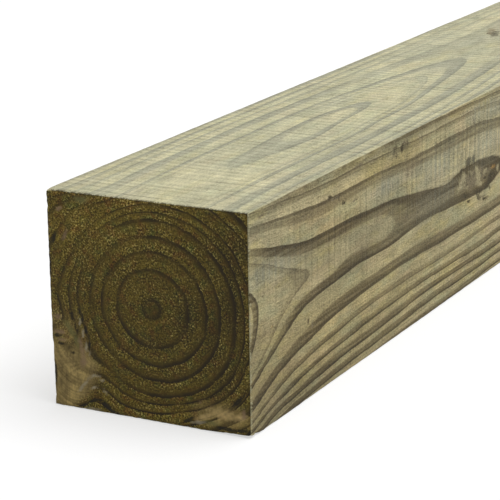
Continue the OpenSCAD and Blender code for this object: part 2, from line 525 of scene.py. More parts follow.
def ragged_coats(tree, colour, rag, ragged, start, table):
    """Coats over the marks that the points carry, with ragged borders: (name, colour, most, softness)."""
    rag = add(tree, "ShaderNodeMapRange", {0: rag, 1: 0.3, 2: 0.7, 3: -ragged, 4: ragged})
    for name, code, most, soft in table:
        mark = add(tree, "ShaderNodeAttribute", attribute_name=name).outputs["Fac"]
        reach = add(tree, "ShaderNodeMath", {0: rag, 1: mark}, operation="ADD")
        colour = coats(tree, colour, [(reach, start, start + soft, most, code)])
    return colour


def matt_wood(tree, colour, height, strength, depth):
    """Ends a finish with a matt shader: its colour, and fine relief from a height, that deep."""
    bump = add(tree, "ShaderNodeBump", {"Strength": strength, "Distance": depth, "Height": height})
    wood = add(tree, "ShaderNodeBsdfPrincipled", {"Base Color": colour, "Normal": bump, "Roughness": 0.78,
                                                  "IOR": 1.5, "Specular IOR Level": 0.3})
    add(tree, "ShaderNodeOutputMaterial", {"Surface": wood})

# %% [markdown]
# A saw blade leaves one shallow mark across the face for each stroke, with a finer one between.
# They could be cut into the mesh, but marks that close would need several times its cells. So they
# are bars of light and dark, which also stand up in the fine relief.

# %% Saw marks
# Distance between saw marks, in mm
SAW_PITCH = 5.85
# How far they sway, in radians of their pitch, and how strong the finer mark between them is
SAW_SWAY, FINER_MARK = 5.0, 0.4


def saw_marks(tree, noise, along):
    """Bars across the grain, one for each pitch with a finer one between, from dark to light."""
    turns = add(tree, "ShaderNodeMath", {0: along, 1: 2 * math.pi * MM / SAW_PITCH}, operation="MULTIPLY")
    turns = add(tree, "ShaderNodeMath", {0: noise["sway"], 1: SAW_SWAY, 2: turns},
                operation="MULTIPLY_ADD")
    coarse = add(tree, "ShaderNodeMath", {0: turns}, operation="SINE")
    twice = add(tree, "ShaderNodeMath", {0: turns, 1: 2.0}, operation="MULTIPLY")
    fine = add(tree, "ShaderNodeMath", {0: twice}, operation="COSINE")
    comb = add(tree, "ShaderNodeMath", {0: fine, 1: FINER_MARK, 2: coarse}, operation="MULTIPLY_ADD")
    cut = add(tree, "ShaderNodeMapRange", {0: noise["cut"], 1: 0.3, 2: 0.7, 3: -1.3, 4: 1.3})
    return add(tree, "ShaderNodeMath", {0: comb, 1: cut}, operation="ADD")


print("saw marks", SAW_PITCH, "mm apart")

# %% [markdown]
# A knot is a branch that the saw cut across. Its wood is browner and has close rings of its own, and
# the bark or resin round it shows as a dark ragged rim. A knot could be a picture of one, but a
# value that says how far out of its branch a point lies draws every knot where its branch comes out.

# %% Knots
# Distance between the rings of a branch, in mm
KNOT_RING = 1.4


def knots(tree, noise, colour):
    """Lays the knots over a colour: brown wood with close rings, inside a ragged dark rim."""
    outside, ring = (add(tree, "ShaderNodeAttribute", attribute_name=name).outputs["Fac"]
                     for name in ("outside_branch", "branch_radius"))
    ragged = add(tree, "ShaderNodeMapRange", {0: noise["rag"], 3: -0.25, 4: 0.25})
    branch = add(tree, "ShaderNodeMath", {0: outside, 1: ragged}, operation="ADD")
    turn = add(tree, "ShaderNodeMath", {0: ring, 1: 2 * math.pi / KNOT_RING}, operation="MULTIPLY")
    turn = add(tree, "ShaderNodeMath", {0: turn}, operation="SINE")
    dark = add(tree, "ShaderNodeMapRange", {0: turn, 1: -1.0, 2: 1.0, 3: 0.1, 4: 0.5})
    knot = coats(tree, paint("8A7550"), [(dark, 0.0, 1.0, 1.0, "5C4A2E"),
                                         (branch, 0.5, 0.95, 1.0, "3A2E1B")])
    inside = add(tree, "ShaderNodeMapRange", {0: branch, 1: 1.02, 2: 0.94})
    return add(tree, "ShaderNodeMix", {0: inside, 6: colour, 7: knot}, data_type="RGBA")


print("rings of a knot", KNOT_RING, "mm apart")

# %% [markdown]
# Where the stick was cut to length, the coarse saw broke the last fibres of each long face. They are
# dark along the top and pale down the other arrises. The fringe is measured from both ends, and a
# fine noise gives it its teeth.

# %% Frayed ends
# How far the broken fibres reach along the sides and along the top, in mm
FRAY_SIDE, FRAY_TOP = 2.6, 3.2


def frayed_ends(tree, noise, along, sky, colour):
    """Lays the fringe of broken fibres at both ends over a colour."""
    from_end = add(tree, "ShaderNodeMath", {0: along}, operation="ABSOLUTE")
    from_end = add(tree, "ShaderNodeMath", {0: LENGTH / 2 / MM, 1: from_end}, operation="SUBTRACT")
    reach = add(tree, "ShaderNodeMapRange", {0: sky, 3: MM / FRAY_SIDE, 4: MM / FRAY_TOP})
    tooth = add(tree, "ShaderNodeMapRange", {0: noise["tooth"], 1: 0.3, 2: 0.7, 3: -0.5, 4: 0.5})
    fringe = add(tree, "ShaderNodeMath", {0: from_end, 1: reach, 2: tooth}, operation="MULTIPLY_ADD")
    fringe = add(tree, "ShaderNodeMapRange", {0: fringe, 1: 0.5, 2: 0.3, 3: 0.0, 4: 0.85})
    fibres = coats(tree, paint("CBC49C"), [(sky, 0.0, 1.0, 1.0, "524A2A")])
    return add(tree, "ShaderNodeMix", {0: fringe, 6: colour, 7: fibres}, data_type="RGBA")


print(f"frayed fibres reach {FRAY_SIDE} mm along the sides and {FRAY_TOP} mm along the top")

# %% [markdown]
# Now the sawn finish is laid from the bottom up: spring wood, summer wood, the top's bleaching and
# painted sheen, knots, marks, dirt, damp, and at the end everything that only makes it lighter or darker.

# %% The long sawn faces
# Darkness at each part of a year: the broad summer band, and the hard line that ends it
SAWN_BAND = [(0.0, 0.4), (0.02, 0.0), (0.5, 0.0), (0.67, 0.1), (0.715, 0.8), (0.8, 0.93), (1.0, 1.0)]
SAWN_LINE = [(0.0, 0.4), (0.02, 0.0), (0.88, 0.0), (0.93, 0.75), (1.0, 0.75)]
# Noises: (name, size along x, y and z in mm, detail)
SAWN_NOISES = [("wander", (5, 50, 5), 2), ("fibre", (1.1, 22, 1.1), 3), ("streak", (2.0, 90, 2.0), 2),
               ("cloud", (22, 80, 22), 2), ("weather", (9, 26, 9), 3), ("yellow", (9, 30, 9), 2),
               ("blush", (8, 34, 8), 2), ("stain", (11, 26, 11), 2), ("cut", (60, 1.5, 60), 1),
               ("sway", (90, 30, 90), 1), ("patch", (20, 30, 20), 2), ("rag", (3.0, 3.6, 3.0), 4),
               ("mottle", (5, 11, 5), 4), ("dash", (0.9, 5, 0.9), 1), ("grit", (0.8, 1.5, 0.8), 2),
               ("tooth", (0.9, 2.0, 0.9), 3)]


def sawn_finish():
    """Rough-sawn treated pine: straw and green-grey spring wood, grey-brown summer wood."""
    finish, tree = new_finish("treated_pine_sawn")
    noise = noises(tree, SAWN_NOISES)
    sky, steep, warm, grime, bite, damp, tone_and_painted_light = (
        add(tree, "ShaderNodeAttribute", attribute_name=name).outputs["Fac"]
        for name in ("sky", "steep", "warm", "grime", "saw_bite", "damp", "tone_and_painted_light"))
    place = add(tree, "ShaderNodeTexCoord").outputs["Object"]
    along = add(tree, "ShaderNodeSeparateXYZ", {0: place}).outputs["Y"]

    # A wobble moves each line sideways, by the same distance wherever the rings lie close or wide
    wobble = add(tree, "ShaderNodeMapRange", {0: noise["wander"], 3: -1.0, 4: 1.0})
    shiver = add(tree, "ShaderNodeMapRange", {0: noise["fibre"], 3: -0.5, 4: 0.5})
    wobble = add(tree, "ShaderNodeMath", {0: wobble, 1: shiver}, operation="ADD")
    wobble = add(tree, "ShaderNodeMath", {0: wobble, 1: steep}, operation="MULTIPLY")
    part, weight = year_nodes(tree, wobble)
    band = seasons(tree, part, weight, SAWN_BAND)
    edge = seasons(tree, part, weight, SAWN_LINE)

    # Summer wood is streaky inside, because the saw pulls its fibres out in strands
    strand = add(tree, "ShaderNodeMapRange", {0: noise["streak"], 1: 0.35, 2: 0.65, 3: 0.7, 4: 1.08})
    # On the top the strands are lighter, from bleaching and a painted sheen
    top_bleach_and_sheen = add(tree, "ShaderNodeMapRange", {0: sky, 3: 1.0, 4: 1.1})
    strand = add(tree, "ShaderNodeMath", {0: strand, 1: top_bleach_and_sheen}, operation="MULTIPLY")
    band = add(tree, "ShaderNodeMath", {0: band, 1: strand}, operation="MULTIPLY", use_clamp=True)

    # Spring wood: straw in long clouds, with patches that lean to yellow, pink-brown and blue-grey
    colour = coats(tree, paint("D0C295"), [(noise["cloud"], 0.38, 0.62, 1.0, "BAB18A"),
                                           (warm, 0.0, 1.0, 0.55, "CDB676"),
                                           (noise["yellow"], 0.5, 0.66, 0.6, "CEBE80"),
                                           (noise["blush"], 0.5, 0.66, 0.4, "C4AE88"),
                                           (noise["stain"], 0.5, 0.66, 0.45, "B2B38C")])
    # Summer wood is olive brown on the sides, and blue-grey on the top from bleaching and a painted sheen
    for amount, code, top_code_bleach_and_sheen in ((band, "635536", "867C6A"), (edge, "40351E", "504838")):
        summer = coats(tree, paint(code), [(sky, 0.0, 1.0, 1.0, top_code_bleach_and_sheen)])
        colour = add(tree, "ShaderNodeMix", {0: amount, 6: colour, 7: summer}, data_type="RGBA")
    # The top is paler, from daylight bleaching and a painted sheen, which takes a part of every colour
    # out of it
    colour = coats(tree, colour, [(sky, 0.0, 1.0, 0.45, "C0C4A9")])

    # Over that lie the knots, and then dark bruises, yellow-brown resin, dark torn grain,
    # and bare pale wood
    colour = knots(tree, noise, colour)
    colour = ragged_coats(tree, colour, noise["rag"], 0.3, 0.5, [("bruise", "8C8064", 0.85, 0.3),
                                                                 ("resin", "B08A4E", 0.85, 0.4),
                                                                 ("torn", "4A412A", 0.92, 0.3),
                                                                 ("bare", "BCB088", 0.88, 0.35)])
    # Handling dirt along the arrises, and short dark resin dashes everywhere
    patchy = add(tree, "ShaderNodeMapRange", {0: noise["mottle"], 1: 0.38, 2: 0.6, 3: 0.2, 4: 1.0})
    grime = add(tree, "ShaderNodeMath", {0: grime, 1: patchy}, operation="MULTIPLY")
    colour = coats(tree, colour, [(grime, 0.0, 1.0, 1.0, "5C5134"),
                                  (noise["dash"], 0.68, 0.76, 0.5, "655636")])

    # Where the wood stayed damp, the bottoms of the saw marks went grey-green
    comb = saw_marks(tree, noise, along)
    hollow = add(tree, "ShaderNodeMapRange", {0: comb, 1: -1.6, 2: 1.6, 3: 0.9, 4: 0.4})
    spring = add(tree, "ShaderNodeMapRange", {0: band, 3: 1.0, 4: 0.25})
    for share in (damp, spring):
        hollow = add(tree, "ShaderNodeMath", {0: hollow, 1: share}, operation="MULTIPLY")
    colour = coats(tree, colour, [(hollow, 0.0, 1.0, 1.0, "B5B49A")])

    # Light and dark: the saw marks, which are strong in patches, then fibres along the grain, fine
    # lines beside the rings, and grit
    strength = add(tree, "ShaderNodeMapRange", {0: noise["patch"], 1: 0.36, 2: 0.62, 3: 0.045, 4: 0.1})
    strength = add(tree, "ShaderNodeMath", {0: strength, 1: bite}, operation="MULTIPLY")
    light = add(tree, "ShaderNodeMath", {0: comb, 1: strength}, operation="MULTIPLY")
    beside = add(tree, "ShaderNodeMath", {0: lines_beside(tree, "ring_radius", 0.8, 60), 1: -0.5},
                 operation="ADD")
    beside = add(tree, "ShaderNodeMath", {0: beside, 1: steep, 2: 0.5}, operation="MULTIPLY_ADD")
    for value, much in ((noise["fibre"], 0.12), (beside, 0.22), (noise["weather"], 0.15),
                        (noise["mottle"], 0.13), (noise["grit"], 0.22), (noise["cloud"], -0.06),
                        (noise["patch"], 0.05)):
        more = add(tree, "ShaderNodeMapRange", {0: value, 1: 0.3, 2: 0.7, 3: -much, 4: much})
        light = add(tree, "ShaderNodeMath", {0: light, 1: more}, operation="ADD")
    # All of it is fainter on the top, which is bleached and carries a painted sheen
    faint_bleach_and_sheen = add(tree, "ShaderNodeMapRange", {0: sky, 3: 1.0, 4: 0.78})
    light = add(tree, "ShaderNodeMath", {0: light, 1: faint_bleach_and_sheen, 2: 1.0}, operation="MULTIPLY_ADD")
    # The broad areas of the points add their tone and painted light and shade
    light = add(tree, "ShaderNodeMath", {0: light, 1: tone_and_painted_light}, operation="MULTIPLY")
    colour = add(tree, "ShaderNodeVectorMath", {0: colour, "Scale": light}, operation="SCALE")

    colour = frayed_ends(tree, noise, along, sky, colour)

    # Fine relief that is too small for the mesh: fibres, saw marks and proud summer wood
    fuzz = add(tree, "ShaderNodeMath", {0: light, 1: 4.0}, operation="MULTIPLY")
    height = add(tree, "ShaderNodeMath", {0: band, 1: 0.5, 2: fuzz}, operation="MULTIPLY_ADD")
    matt_wood(tree, colour, height, 0.7, 0.00025)
    return finish

# %% [markdown]
# The cut ends drink the preservative and go a dark olive brown. Cut fibres stand open there, so the
# surface is a mass of tiny pits with specks of pale wood between them. The real specks are about half
# a millimetre and are drawn a little coarser, so that they show. Summer wood is a smoother brown band
# that ends in a thin, nearly black line. Round the two branches the burr wood is closed and smooth,
# so it drank less.

# %% The cross-cut ends
END_BAND = [(0.0, 0.4), (0.03, 0.0), (0.3, 0.0), (0.5, 0.3), (0.68, 0.8), (1.0, 1.0)]
END_LINE = [(0.0, 0.7), (0.04, 0.0), (0.72, 0.0), (0.86, 0.8), (1.0, 1.0)]
END_NOISES = [("wander", (9, 9, 9), 2), ("grain", (0.8, 0.8, 0.8), 2), ("cloud", (15, 15, 15), 2),
              ("hue", (5, 5, 5), 3), ("green", (6, 6, 6), 3), ("uneven", (12, 12, 12), 3),
              ("patch", (7, 7, 7), 3), ("comb", (1.5, 1.5, 14), 3), ("rag", (2.4, 2.4, 2.4), 3)]


def end_finish():
    """Cross-cut treated pine: dark olive brown, pitted, with thin near-black summer rings."""
    finish, tree = new_finish("treated_pine_end_grain")
    noise = noises(tree, END_NOISES)
    burr, closed, soaked, tone_and_painted_light = (add(tree, "ShaderNodeAttribute", attribute_name=name).outputs["Fac"]
                                  for name in ("burr", "closed", "soaked", "tone_and_painted_light"))
    wobble = add(tree, "ShaderNodeMapRange", {0: noise["wander"], 3: -0.8, 4: 0.8})
    shiver = add(tree, "ShaderNodeMapRange", {0: noise["grain"], 3: -0.5, 4: 0.5})
    wobble = add(tree, "ShaderNodeMath", {0: wobble, 1: shiver}, operation="ADD")
    part, weight = year_nodes(tree, wobble)
    # No ring is equally dark all the way round
    uneven = add(tree, "ShaderNodeMapRange", {0: noise["uneven"], 1: 0.35, 2: 0.62, 3: 0.45, 4: 1.3})
    weight = add(tree, "ShaderNodeMath", {0: weight, 1: uneven}, operation="MULTIPLY", use_clamp=True)
    band = seasons(tree, part, weight, END_BAND)
    edge = seasons(tree, part, weight, END_LINE)

    # Spring wood: olive, with reddish and greenish patches
    colour = coats(tree, paint("8B7730"), [(noise["cloud"], 0.36, 0.64, 1.0, "66571C"),
                                           (noise["hue"], 0.5, 0.66, 0.6, "7E5026"),
                                           (noise["green"], 0.5, 0.66, 0.6, "4C5A2A")])
    # Burr wood: a paler tan, combed into upright fibres, with the branch's own fibres fanning out
    comb = add(tree, "ShaderNodeMath", {0: noise["comb"], 1: lines_beside(tree, "fan", 0.1, 30)},
               operation="ADD")
    tan = coats(tree, paint("BDA568"), [(comb, 0.7, 1.3, 1.0, "85734A")])
    colour = add(tree, "ShaderNodeMix", {0: burr, 6: colour, 7: tan}, data_type="RGBA")
    colour = coats(tree, colour, [(soaked, 0.0, 1.0, 0.6, "2B2710"), (band, 0.0, 1.0, 0.85, "4C3D1A")])

    # Pits and specks, which close up in the burr wood and towards each summer
    closed = add(tree, "ShaderNodeMath", {0: closed, 1: band}, operation="MAXIMUM")
    open_wood = add(tree, "ShaderNodeMapRange", {0: closed, 3: 1.0, 4: 0.15})
    patchy = add(tree, "ShaderNodeMapRange", {0: noise["patch"], 1: 0.4, 2: 0.62, 3: 0.3, 4: 1.0})
    speckled = add(tree, "ShaderNodeMath", {0: open_wood, 1: patchy}, operation="MULTIPLY")
    for start, full, most, code, where in ((0.52, 0.38, 0.85, "1C1605", open_wood),
                                           (0.55, 0.68, 1.0, "DEC878", speckled)):
        amount = add(tree, "ShaderNodeMapRange", {0: noise["grain"], 1: start, 2: full, 4: most})
        amount = add(tree, "ShaderNodeMath", {0: amount, 1: where}, operation="MULTIPLY")
        colour = coats(tree, colour, [(amount, 0.0, 1.0, 1.0, code)])

    # Light and dark: fine lines beside the rings, broad clouds, and the broad areas of the points, which
    # are tone and painted light and shade
    light = add(tree, "ShaderNodeMapRange",
                {0: lines_beside(tree, "ring_radius", 0.7, 14), 1: 0.3, 2: 0.7, 3: 0.7, 4: 1.3})
    for value, much in ((noise["cloud"], 0.15), (noise["green"], 0.2), (noise["rag"], 0.2)):
        more = add(tree, "ShaderNodeMapRange", {0: value, 1: 0.3, 2: 0.7, 3: 1 - much, 4: 1 + much})
        light = add(tree, "ShaderNodeMath", {0: light, 1: more}, operation="MULTIPLY")
    light = add(tree, "ShaderNodeMath", {0: light, 1: tone_and_painted_light}, operation="MULTIPLY")
    colour = add(tree, "ShaderNodeVectorMath", {0: colour, "Scale": light}, operation="SCALE")
    colour = coats(tree, colour, [(edge, 0.0, 1.0, 1.0, "251D0C")])

    # The bright heart of the branch, and green, pinkish, pale and black fibres; part of the black is
    # painted shade at the left edge and the lower right
    colour = ragged_coats(tree, colour, noise["rag"], 0.22, 0.3, [("heart", "E8C988", 0.9, 0.9),
                                                                  ("green_end", "7C7848", 0.75, 0.5),
                                                                  ("pink_end", "A08566", 0.75, 0.5),
                                                                  ("pale_end", "BDB192", 0.8, 0.5),
                                                                  ("black_fibres_and_shade", "1C180C", 0.92, 0.4)])
    # Relief: specks stand up, pits and summer edges lie deep
    specks = add(tree, "ShaderNodeMath", {0: noise["grain"], 1: open_wood}, operation="MULTIPLY")
    height = add(tree, "ShaderNodeMath", {0: specks, 1: 3.0}, operation="MULTIPLY")
    height = add(tree, "ShaderNodeMath", {0: height, 1: edge}, operation="SUBTRACT")
    matt_wood(tree, colour, height, 0.8, 0.0003)
    return finish


sawn = sawn_finish()
end_grain = end_finish()
print("finishes:", [(finish.name, len(finish.node_tree.nodes)) for finish in (sawn, end_grain)])

# %% [markdown]
# ## The sawn stick
#
# The stick is one closed box of small cells, because its shape follows a plain rule: a square
# section with eased arrises, carried along a line. Geometry Nodes make it from a grid cube. The
# cells crowd towards the arrises and towards the near end, where the detail is, so that the mesh
# stays under 200,000 triangles. Each point also keeps its place in the grid, which later gives the
# texture layout.

# %% A box of crowded cells
# Rows of cells from the near end, and how far along they have come in mm: short cells at the end and
# round the torn patch, then longer and longer ones
ROWS = [(0, 0), (12, 18), (78, 230), (118, 290), (152, 450), (300, LENGTH)]


def socket(tree, name, kind, side="INPUT"):
    """Declares a named input or output of a node tree."""
    tree.interface.new_socket(name, in_out=side, socket_type="NodeSocket" + kind)


def crowded_box(tree, given):
    """A closed box of cells, and where each of its points goes: crowded to the arrises and the end."""
    cube = add(tree, "GeometryNodeMeshCube",
               {"Size": (1, 1, 1), "Vertices X": given["Points across"],
                "Vertices Y": given["Points along"], "Vertices Z": given["Points across"]})
    place = add(tree, "GeometryNodeInputPosition")
    kept = add(tree, "GeometryNodeStoreNamedAttribute",
               {"Geometry": cube, "Name": "grid", "Value": place},
               data_type="FLOAT_VECTOR", domain="POINT")
    parts = add(tree, "ShaderNodeSeparateXYZ", {0: place}).outputs

    # Across: the cells follow a sine, which crowds them to both arrises
    half = add(tree, "ShaderNodeMath", {0: given["Crowding across"], 1: 0.5}, operation="MULTIPLY")
    half = add(tree, "ShaderNodeMath", {0: half}, operation="SINE")
    full = add(tree, "ShaderNodeMath", {0: half, 1: 2.0}, operation="MULTIPLY")
    across = {}
    for axis, size in (("X", "Width"), ("Z", "Depth")):
        turn = add(tree, "ShaderNodeMath", {0: parts[axis], 1: given["Crowding across"]},
                   operation="MULTIPLY")
        sine = add(tree, "ShaderNodeMath", {0: turn}, operation="SINE")
        share = add(tree, "ShaderNodeMath", {0: sine, 1: full}, operation="DIVIDE")
        across[axis] = add(tree, "ShaderNodeMath", {0: share, 1: given[size]}, operation="MULTIPLY")

    # Along: a curve turns each row's share of the rows into its share of the length
    start = add(tree, "ShaderNodeMath", {0: parts["Y"], 1: 0.5}, operation="ADD")
    row = add(tree, "ShaderNodeFloatCurve", {"Value": start})
    bend(row, [(rows / ROWS[-1][0], far / ROWS[-1][1]) for rows, far in ROWS[1:-1]])
    centred = add(tree, "ShaderNodeMath", {0: row, 1: 0.5}, operation="SUBTRACT")
    along = add(tree, "ShaderNodeMath", {0: centred, 1: given["Length"]}, operation="MULTIPLY")
    box = add(tree, "ShaderNodeCombineXYZ", {"X": across["X"], "Y": along, "Z": across["Z"]})
    return kept, box

# %% [markdown]
# A planer or plain handling takes the sharpness off the four long arrises. A Bevel modifier could
# round them, but it would cut new cells and lose the grid. Instead, what lies past the centre line
# of an arris is drawn in to a quarter circle round it.

# %% Eased arrises
ARRIS = 0.5
# The section counts as this long, in metres, so that the ends stay square
ENDLESS = 1e3


def eased(tree, given, box):
    """The places of a box with its long arrises rounded, lifted to stand on z = 0."""
    section = add(tree, "ShaderNodeCombineXYZ", {"X": given["Width"], "Y": ENDLESS, "Z": given["Depth"]})
    section = add(tree, "ShaderNodeVectorMath", {0: section, 1: (0.5, 0.5, 0.5)}, operation="MULTIPLY")
    easing = add(tree, "ShaderNodeCombineXYZ", {"X": given["Arris radius"], "Z": given["Arris radius"]})
    core = add(tree, "ShaderNodeVectorMath", {0: section, 1: easing}, operation="SUBTRACT")
    inner = add(tree, "ShaderNodeVectorMath", {0: box, 1: core}, operation="MINIMUM")
    other = add(tree, "ShaderNodeVectorMath", {0: core, "Scale": -1.0}, operation="SCALE")
    inner = add(tree, "ShaderNodeVectorMath", {0: inner, 1: other}, operation="MAXIMUM")
    past = add(tree, "ShaderNodeVectorMath", {0: box, 1: inner}, operation="SUBTRACT")
    size = add(tree, "ShaderNodeVectorMath", {0: past}, operation="ABSOLUTE")
    size = add(tree, "ShaderNodeSeparateXYZ", {0: size}).outputs
    size = add(tree, "ShaderNodeMath", {0: size["X"], 1: size["Z"]}, operation="MAXIMUM")
    way = add(tree, "ShaderNodeVectorMath", {0: past}, operation="NORMALIZE")
    curve = add(tree, "ShaderNodeVectorMath", {0: way, "Scale": size}, operation="SCALE")
    rounded = add(tree, "ShaderNodeVectorMath", {0: inner, 1: curve}, operation="ADD")
    rest = add(tree, "ShaderNodeMath", {0: given["Depth"], 1: 0.5}, operation="MULTIPLY")
    lift = add(tree, "ShaderNodeCombineXYZ", {"Z": rest})
    return add(tree, "ShaderNodeVectorMath", {0: rounded, 1: lift}, operation="ADD")

# %% [markdown]
# The tree that makes the stick has a named input for each of its sizes, so that it could make any
# other square stock. It is run once through a modifier, and what comes out is kept as a plain mesh.

# %% Geometry Nodes: the grid stick
POINTS_ACROSS = 73
# How far into a sine, in radians, the cells run from one arris to the other
CROWDING = 2.67


def stick_tree():
    """A rounded box of crowded cells, standing on z = 0 and centred on x and y."""
    tree = bpy.data.node_groups.new("grid_stick", "GeometryNodeTree")
    for name in ("Width", "Length", "Depth", "Arris radius", "Crowding across"):
        socket(tree, name, "Float")
    for name in ("Points across", "Points along"):
        socket(tree, name, "Int")
    socket(tree, "Finish", "Material")
    socket(tree, "Geometry", "Geometry", "OUTPUT")
    given = add(tree, "NodeGroupInput").outputs
    kept, box = crowded_box(tree, given)
    shaped = add(tree, "GeometryNodeSetPosition",
                 {"Geometry": kept, "Position": eased(tree, given, box)})
    whole = add(tree, "GeometryNodeRealizeInstances", {"Geometry": shaped})
    dressed = add(tree, "GeometryNodeSetMaterial", {"Geometry": whole, "Material": given["Finish"]})
    add(tree, "NodeGroupOutput", {"Geometry": dressed})
    return tree


def run_tree(name, tree, values, start=None):
    """Runs a node tree on a mesh, with its inputs set by identifier, and returns a plain mesh."""
    worker = bpy.data.objects.new(name, start or bpy.data.meshes.new(name))
    scene.collection.objects.link(worker)
    modifier = worker.modifiers.new(name, "NODES")
    modifier.node_group = tree
    for item in tree.interface.items_tree:
        if item.in_out == "INPUT" and item.name in values:
            modifier[item.identifier] = values[item.name]
    graph = bpy.context.evaluated_depsgraph_get()
    mesh = bpy.data.meshes.new_from_object(worker.evaluated_get(graph), preserve_all_data_layers=True,
                                           depsgraph=graph)
    worker.modifiers.remove(modifier)
    bpy.data.objects.remove(worker)
    # A grid made by nodes starts with one empty material slot
    for slot in reversed(range(len(mesh.materials))):
        if mesh.materials[slot] is None:
            mesh.materials.pop(index=slot)
    return mesh


stick = run_tree("grid_stick", stick_tree(),
                 {"Width": WIDTH / MM, "Length": LENGTH / MM, "Depth": DEPTH / MM,
                  "Arris radius": ARRIS / MM, "Crowding across": CROWDING,
                  "Points across": POINTS_ACROSS, "Points along": ROWS[-1][0] + 1, "Finish": sawn})
print(f"grid stick: {len(stick.vertices)} points, {2 * len(stick.polygons)} triangles")

# %% [markdown]
# ## The damage
#
# The near end took knocks: a sliver lifted off the foot of its left side, a corner broke away, and
# small nicks were left in its edges. These forms and sizes are the ones that the construction
# model has, repeated here as plain formulas, and each one only ever pushes points inwards.

# %% Sliver, breaks and nicks
SLIVER_THICK, SLIVER_HIGH, SLIVER_LONG = 0.4, 30.0, 55.0
# The sliver's upper edge is eased over this half height, and it thins out to nothing this far in
SLIVER_EDGE, SLIVER_IN = 0.6, 6.0
NICK_WIDE = 4.0
# Corner breaks: (which x side, which z side, legs along x, y and z)
BREAKS = [(-1, 1, (4.0, 5.0, 0.8)), (1, -1, (22.0, 14.0, 1.2))]
# Nicks: (which x side, the two axes that lead in from the edge, axis of the edge, place on it, depth)
NICKS = [(-1, (0, 1), 2, 92.0, 0.8), (-1, (0, 1), 2, 5.0, 0.8), (1, (0, 2), 1, 5.0, 1.6)]


def read(mesh, name):
    """A point attribute of a mesh, three numbers for each point, as an array."""
    values = np.empty(len(mesh.vertices) * 3, np.float32)
    mesh.attributes[name].data.foreach_get("vector", values)
    return values.reshape(-1, 3).astype(float)


def knocked_about(points):
    """The same points with the near end's damage."""
    points = points.copy()
    x, y, z = points.T
    # The sliver came away from the left side, thickest at the end, and the end narrows with it
    high = ease(SLIVER_HIGH + SLIVER_EDGE, SLIVER_HIGH - SLIVER_EDGE, z)
    thick = SLIVER_THICK * np.clip(1 - y / SLIVER_LONG, 0, 1) * high
    points[:, 0] += thick * np.clip(1 - (x + WIDTH / 2) / SLIVER_IN, 0, 1)
    # Each break is flat, across the corner where three faces meet
    for side, level, legs in BREAKS:
        corner = np.array([side * WIDTH / 2, 0, DEPTH * (level > 0)])
        inwards = np.array([-side, 1, -level])
        slopes = 1 / np.array(legs)
        short = np.clip(1 - ((points - corner) * inwards) @ slopes, 0, None)
        points += short[:, None] * inwards * slopes / (slopes @ slopes)
    # Each nick is a notch square across its edge
    for side, axes, along, place, depth in NICKS:
        deep = depth * np.clip(1 - np.abs(points[:, along] - place) * 2 / NICK_WIDE, 0, 1)
        corner = np.array([side * WIDTH / 2, 0, 0])
        inwards = np.array([-side, 1, 1])
        inside = ((points - corner) * inwards)[:, axes].sum(1)
        push = np.clip(deep - inside / math.sqrt(2), 0, None) / math.sqrt(2)
        for axis in axes:
            points[:, axis] += inwards[axis] * push
    return points


whole_points = read(stick, "position") * MM - [0, NEAR_END * MM, 0]
grid = read(stick, "grid")
stick_points = knocked_about(whole_points)
moved = np.linalg.norm(stick_points - whole_points, axis=1)
print(f"damage moves {np.count_nonzero(moved > 0.01)} points, by up to {moved.max():.2f} mm")

# %% [markdown]
# ## What each point of the surface is
#
# The finishes need to know more than the place: which ring is cut, whether the wood is a knot,
# where the soft burr wood of a branch fills a corner of the end, where the saw tore the grain,
# and how much sky a face sees, because the top is bleached and carries a painted sheen. All of it
# is stored on the points as named attributes, which materials and Geometry Nodes can both read.

